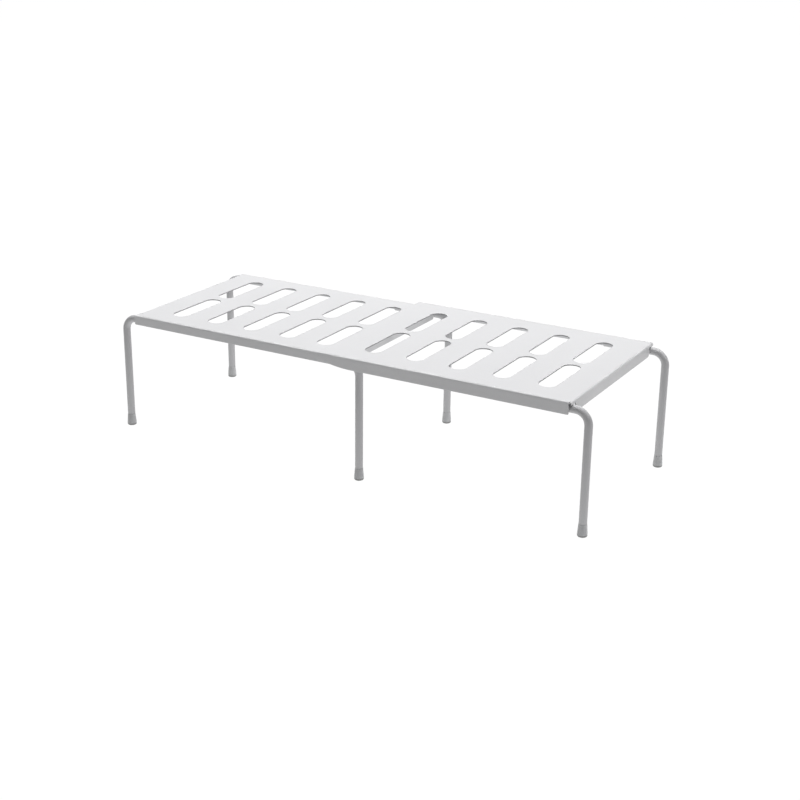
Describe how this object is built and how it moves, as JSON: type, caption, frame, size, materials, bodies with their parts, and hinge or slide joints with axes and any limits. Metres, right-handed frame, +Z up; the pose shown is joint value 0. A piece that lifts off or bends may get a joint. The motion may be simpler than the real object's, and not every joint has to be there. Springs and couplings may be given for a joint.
{
  "type": "expandable shelf riser",
  "caption": "White expandable kitchen shelf riser: a slotted steel deck slides over a matching deck, on bent tube legs with foot caps.",
  "frame": {"origin": "on the floor under the middle of the riser as it stands pulled out", "axes": "+X along the riser's length, from the inner deck's end to the outer deck's end; +Y from front to rear; +Z up"},
  "size_m": [0.6078, 0.228, 0.145],
  "materials": {
    "deck_paint": "white powder coat, satin, fine orange peel",
    "tube_paint": "white powder coat, satin",
    "cap_plastic": "matte off-white moulded plastic",
    "bead_paint": "white powder coat over a weld bead"
  },
  "bodies": {
    "inner_shelf": {"inner_deck": "deck_paint", "leg_left_front": "tube_paint", "leg_left_rear": "tube_paint", "leg_middle_front": "tube_paint", "leg_middle_rear": "tube_paint", "foot_cap_left_front": "cap_plastic", "foot_cap_left_rear": "cap_plastic", "foot_cap_middle_front": "cap_plastic", "foot_cap_middle_rear": "cap_plastic", "weld_bead_left_front": "bead_paint", "weld_bead_left_rear": "bead_paint", "weld_bead_middle_front": "bead_paint", "weld_bead_middle_rear": "bead_paint"},
    "outer_shelf": {"outer_deck": "deck_paint", "leg_right_front": "tube_paint", "leg_right_rear": "tube_paint", "foot_cap_right_front": "cap_plastic", "foot_cap_right_rear": "cap_plastic", "weld_bead_right_front": "bead_paint", "weld_bead_right_rear": "bead_paint"}
  },
  "joints": [
    {"name": "deck_slide", "type": "slide", "parent": "inner_shelf", "child": "outer_shelf", "axis": [-1, 0, 0], "range_m": [0, 0.1935]}
  ]
}
